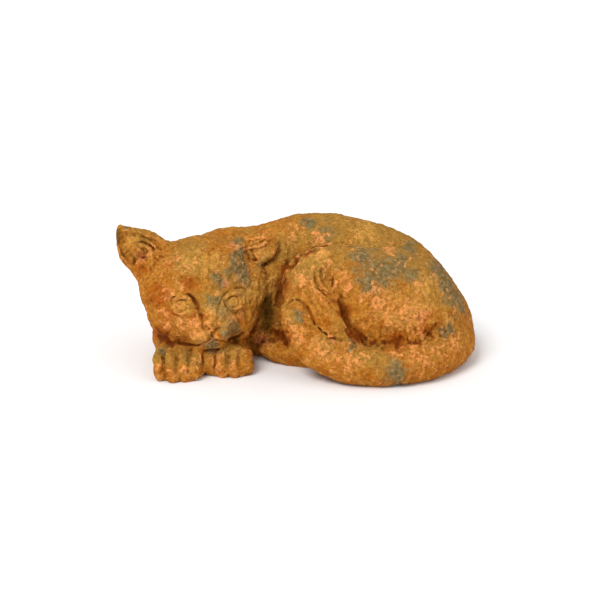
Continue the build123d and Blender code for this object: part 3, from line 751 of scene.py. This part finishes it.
# ----------------------------------------------------------------------------------------------------
# Materials
# ----------------------------------------------------------------------------------------------------
class Nodes:
    """Short calls for building a material."""

    def __init__(self, name):
        self.material = bpy.data.materials.new(name)
        self.material.use_nodes = True
        self.tree = self.material.node_tree
        self.shader = self.tree.nodes["Principled BSDF"]
        self.place = self.tree.nodes.new("ShaderNodeTexCoord").outputs["Object"]

    def new(self, kind, **settings):
        node = self.tree.nodes.new(kind)
        for key, value in settings.items():
            setattr(node, key, value)
        return node

    def link(self, source, target):
        """Feed a socket from another one, or give it a plain value."""
        if hasattr(source, "is_output"):
            self.tree.links.new(source, target)
        else:
            target.default_value = source

    def noise(self, size, detail, rough, seed):
        """Noise with features about size millimetres across, 0 to 1."""
        moved = self.new("ShaderNodeMapping")
        self.link(self.place, moved.inputs["Vector"])
        moved.inputs["Location"].default_value = (seed, seed * 0.7, seed * 1.3)
        node = self.new("ShaderNodeTexNoise")
        self.link(moved.outputs[0], node.inputs["Vector"])
        node.inputs["Scale"].default_value = 1 / (size * MM)
        node.inputs["Detail"].default_value = detail
        node.inputs["Roughness"].default_value = rough
        return node.outputs["Fac"]

    def centred(self, *settings):
        """The same noise, about -0.5 to 0.5."""
        return self.math("SUBTRACT", self.noise(*settings), 0.5)

    def total(self, *parts):
        """The sum of some (value, weight) pairs."""
        result = None
        for value, weight in parts:
            part = self.math("MULTIPLY", value, weight)
            result = part if result is None else self.math("ADD", result, part)
        return result

    def value(self, name):
        """An attribute of the surface."""
        node = self.new("ShaderNodeAttribute", attribute_name=name)
        return node.outputs["Fac"]

    def math(self, operation, a, b=0.0):
        node = self.new("ShaderNodeMath", operation=operation)
        self.link(a, node.inputs[0])
        self.link(b, node.inputs[1])
        return node.outputs[0]

    def step(self, value, low, high, to_low=0.0, to_high=1.0):
        """A smooth rise from to_low to to_high as value goes from low to high."""
        node = self.new("ShaderNodeMapRange", interpolation_type="SMOOTHSTEP")
        for socket, given in zip(node.inputs, (value, low, high, to_low, to_high)):
            self.link(given, socket)
        return node.outputs[0]

    def mix(self, share, a, b, blend="MIX"):
        """Colour a, with b over it by share."""
        node = self.new("ShaderNodeMix", data_type="RGBA", blend_type=blend)
        sockets = [s for s in node.inputs if s.type == "RGBA"]
        self.link(share, node.inputs[0])
        self.link(a, sockets[0])
        self.link(b, sockets[1])
        return next(s for s in node.outputs if s.type == "RGBA")


def color(red, green, blue):
    """A colour from 0 to 255, as the eye sees it, for a shader."""
    def linear(c):
        c /= 255
        return c / 12.92 if c <= 0.04045 else ((c + 0.055) / 1.055) ** 2.4
    return (linear(red), linear(green), linear(blue), 1.0)


def weathered_clay():
    """Fired clay under a weathered wash of rusty red, ochre and mineral bloom, with shade painted into its
    hollows and creases and a highlight painted on raised relief.
    """
    n = Nodes("weathered_terracotta")
    hollow = n.value("hollow_fine")
    deep = n.value("hollow_deep")
    up = n.value("faces_up")
    broad = n.centred(26, 4, 0.6, 1.7)
    middle = n.centred(9, 4, 0.65, 0.5)
    fine = n.centred(3.4, 4, 0.7, 0.9)
    grain = n.centred(1.3, 3, 0.7, 8.8)

    base = n.mix(n.step(middle, -0.18, 0.18), color(166, 94, 22), color(192, 130, 50))
    olive = n.total((n.value("olive"), 0.55), (up, 0.4), (broad, 1.3), (fine, 0.6))
    base = n.mix(n.step(olive, 0.1, 0.9, 0, 0.8), base, color(158, 120, 52))
    # Rusty red-orange with painted shade, mostly in creases and recesses.
    rust_and_shade = n.total((n.value("rust_and_shade"), 1.0), (middle, 1.4), (fine, 0.8), (broad, -0.8), (up, -0.1))
    base = n.mix(n.step(rust_and_shade, 0.15, 1.0, 0, 0.75), base, color(160, 76, 12))
    bloom = n.total((n.value("bloom"), 1.1), (middle, 1.1), (fine, 1.2))
    grey = n.mix(n.step(fine, -0.15, 0.15), color(104, 92, 52), color(126, 114, 80))
    base = n.mix(n.step(bloom, 0.12, 1.05, 0, 0.88), base, grey)
    gold = n.total((n.value("gold"), 1.0), (middle, 1.2), (fine, 0.8))
    base = n.mix(n.step(gold, 0.2, 1.1, 0, 0.6), base, color(208, 152, 70))
    blush = n.total((n.value("blush"), 1.0), (middle, 1.0), (fine, 1.0))
    base = n.mix(n.step(blush, 0.35, 1.0, 0, 0.65), base, color(214, 126, 82))

    # Chips down to the peach clay, and a painted highlight: the negative hollow term makes raised relief
    # lighter.
    wear_and_highlight = n.total(
        (n.value("crust"), 0.3), (n.centred(6, 3, 0.6, 5.2), 1.2), (n.centred(18, 2, 0.5, 6.1), 0.8),
        (fine, 0.8), (n.value("peach"), 0.5), (hollow, -1.0),
    )
    wear_and_highlight_share = n.step(wear_and_highlight, 0.24, 0.92, 0, 0.72)
    base = n.mix(wear_and_highlight_share, base, color(230, 150, 82))
    fleck = n.total((n.value("fleck"), 1.0), (n.centred(5, 4, 0.6, 2.6), 1.6), (fine, 0.8), (hollow, -0.4))
    base = n.mix(n.step(fleck, 0.4, 0.95, 0, 0.7), base, color(232, 150, 84))

    # Staining and painted shade: the deep hollows, the listed creases and the red-orange patches turn a dark
    # red-brown.
    stain_and_shade = n.total((deep, 1.0), (n.value("crease"), 0.75), (n.value("rust_and_shade"), 0.2), (fine, 0.8))
    base = n.mix(n.step(stain_and_shade, 0.15, 0.8, 0, 0.85), base, color(108, 46, 4))
    # Mossy dark green-brown with painted shade in the flank's hollow.
    moss_and_shade = n.total((n.value("moss_and_shade"), 1.0), (fine, 1.0))
    base = n.mix(n.step(moss_and_shade, 0.3, 0.9, 0, 0.8), base, color(84, 58, 8))
    cracks = n.math("ABSOLUTE", n.centred(8, 4, 0.65, 4.4))
    cracks = n.math("MULTIPLY", n.step(cracks, 0.0, 0.03, 1, 0), n.step(middle, -0.1, 0.1, 0, 0.55))
    base = n.mix(cracks, base, color(120, 58, 8))
    # Painted shade and grime: fine hollows and grooves turn dark brown.
    groove_grime_and_shade = n.total((hollow, 1.25), (deep, 0.4), (fine, 0.6), (grain, 0.4))
    base = n.mix(n.step(groove_grime_and_shade, 0.08, 0.8, 0, 0.85), base, color(84, 36, 4))
    shade = n.step(n.total((grain, 0.7), (fine, 0.9)), -0.3, 0.3, 0.56, 1.38)
    base = n.mix(1.0, base, shade, "MULTIPLY")

    n.link(base, n.shader.inputs["Base Color"])
    n.link(n.step(wear_and_highlight, 0.0, 0.5, 0.9, 0.68), n.shader.inputs["Roughness"])
    n.shader.inputs["Specular IOR Level"].default_value = 0.06
    bump = n.new("ShaderNodeBump")
    bump.inputs["Strength"].default_value = 1.0
    bump.inputs["Distance"].default_value = 1.5 * MM
    n.link(n.total((fine, 1.1), (grain, 0.3), (wear_and_highlight_share, 0.25)), bump.inputs["Height"])
    n.link(bump.outputs[0], n.shader.inputs["Normal"])
    return n.material


def bare_clay():
    """The unglazed underside, smoothed with a wet hand."""
    n = Nodes("bare_terracotta")
    broad = n.noise(30, 3, 0.5, 0.2)
    fine = n.noise(2.5, 4, 0.6, 0.7)
    base = n.mix(n.step(broad, 0.35, 0.65), color(176, 104, 58), color(196, 128, 80))
    base = n.mix(n.step(fine, 0.52, 0.7, 0, 0.5), base, color(150, 84, 44))
    base = n.mix(n.step(n.noise(1.4, 2, 0.5, 3.0), 0.66, 0.74, 0, 0.7), base, color(104, 66, 38))
    n.link(base, n.shader.inputs["Base Color"])
    n.link(n.step(fine, 0.3, 0.7, 0.8, 0.95), n.shader.inputs["Roughness"])
    n.shader.inputs["Specular IOR Level"].default_value = 0.3
    bump = n.new("ShaderNodeBump")
    bump.inputs["Strength"].default_value = 0.7
    bump.inputs["Distance"].default_value = 0.5 * MM
    n.link(fine, bump.inputs["Height"])
    n.link(bump.outputs[0], n.shader.inputs["Normal"])
    return n.material


def plain_floor():
    """A pale matt floor."""
    n = Nodes("pale_floor")
    n.shader.inputs["Base Color"].default_value = color(240, 240, 240)
    n.shader.inputs["Roughness"].default_value = 0.9
    n.shader.inputs["Specular IOR Level"].default_value = 0.1
    return n.material


# ----------------------------------------------------------------------------------------------------
# Camera, light and floor
# ----------------------------------------------------------------------------------------------------
DISTANCE = 1.5  # metres from the camera to what it looks at
LENS = 102.1
SENSOR = 36
AIM = (-3.4, -3.2, 60.2)  # the point that the camera looks at


def make_camera():
    """The camera, looking down at the figurine's front."""
    data = bpy.data.cameras.new("camera")
    data.lens = LENS
    data.sensor_width = SENSOR
    camera = bpy.data.objects.new("camera", data)
    bpy.context.scene.collection.objects.link(camera)
    camera.location = Vector(np.array(AIM) * MM - LOOK * DISTANCE)
    camera.rotation_euler = (pi / 2 - ELEVATION, 0, 0)
    bpy.context.scene.camera = camera


def add_sun(name, strength, softness, toward):
    """A sun that shines toward a direction. Softness is its width in degrees."""
    data = bpy.data.lights.new(name, "SUN")
    data.energy = strength
    data.angle = radians(softness)
    light = bpy.data.objects.new(name, data)
    bpy.context.scene.collection.objects.link(light)
    light.rotation_euler = Vector(toward).to_track_quat("-Z", "Y").to_euler()


def make_studio():
    """White surroundings, two suns and a floor."""
    world = bpy.data.worlds.new("studio")
    world.use_nodes = True
    background = world.node_tree.nodes["Background"]
    background.inputs["Color"].default_value = (1, 1, 1, 1)
    background.inputs["Strength"].default_value = 0.74
    bpy.context.scene.world = world
    add_sun("key", 2.0, 28, (0.5, 0.7, -1.0))
    add_sun("fill", 0.35, 60, (-0.8, 0.5, -0.5))
    floor_half = 12.0  # metres
    points = np.array([(-1, -1, 0), (1, -1, 0), (1, 1, 0), (-1, 1, 0)]) * floor_half
    floor = add_mesh("floor", points, np.array([[0, 1, 2, 3]]))
    floor.data.materials.append(plain_floor())
    bpy.context.scene.view_settings.view_transform = "Standard"


# ----------------------------------------------------------------------------------------------------
# The making
# ----------------------------------------------------------------------------------------------------
make_camera()
make_studio()
weathered = weathered_clay()

distances = {node: piece_distance(node) for node in CLAY_PIECES}
slab_distance = piece_distance("base_slab")

solid = slab_distance < 0
for distance in distances.values():
    solid |= distance < 0
# For the search for closed rooms, the pour hole in the slab is stopped with a layer two cells thick.
slab_low, slab_high = (np.array(c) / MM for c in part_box("base_slab"))
slab_rim = 6
floor_part, _ = window(slab_low + slab_rim, slab_high - slab_rim)
plug = floor_part[:2] + (slice(EDGE, EDGE + 2),)
plugged = solid.copy()
plugged[plug] = True

# Joints are smoothed over by these amounts, in millimetres, as each piece is luted on.
LUTED = {
    "hind_leg": 9, "tail": 10, "hind_foot": 5, "head": 9, "right_foreleg": 4, "left_foreleg": 4,
    "right_ear": 7, "left_ear": 6,
}
clay = distances["body_shell"].copy()
for node, soft in LUTED.items():
    clay = join(clay, distances[node], soft)
# The rooms inside are filled from this far under the surface, so that no tool breaks into them.
FILLED_FROM = 3.5
solid |= closed_in(plugged)
open_air = ~solid & (clay > 0)
deep_inside = ~spread(open_air, round(FILLED_FROM / VOXEL))
clay[deep_inside] = np.minimum(clay[deep_inside], -FILLED_FROM)

model_paws()
model_face()
model_ears()
model_hind_leg()
model_flank()
roughen()

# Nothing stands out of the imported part's box.
inside_box = np.full(cells, -REACH, np.float32)
for axis in range(3):
    line = np.maximum(cad_low[axis] / MM - lines[axis], lines[axis] - cad_high[axis] / MM)
    line = line.reshape([-1 if a == axis else 1 for a in range(3)]).astype(np.float32)
    inside_box = np.maximum(inside_box, line)
clay = np.maximum(clay, inside_box)

# How much clay lies round a point tells the material where the surface is hollow, to paint shade there, and
# where it stands out, to paint a highlight.
filled = np.clip(0.5 - clay / VOXEL, 0, 1)
shade_fine = blurred(filled, 1.3)
shade_deep = blurred(filled, 5.0)

# The nearest and the second nearest piece to each cell, which decide where pieces meet.
everyone = list(distances.values()) + [slab_distance]
nearest = np.minimum.reduce(everyone)
second = np.full(cells, REACH, np.float32)
taken = np.zeros(cells, bool)
for distance in everyone:
    is_nearest = (distance <= nearest) & ~taken
    taken |= is_nearest
    second = np.minimum(second, np.where(is_nearest, REACH, distance))

for node in CLAY_PIECES:
    make_piece(node, nearest, second)

# The slab is flat and smooth, so it stays as packed and only gets its material.
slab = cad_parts["base_slab"]
slab.data.materials.clear()
slab.data.materials.append(bare_clay())
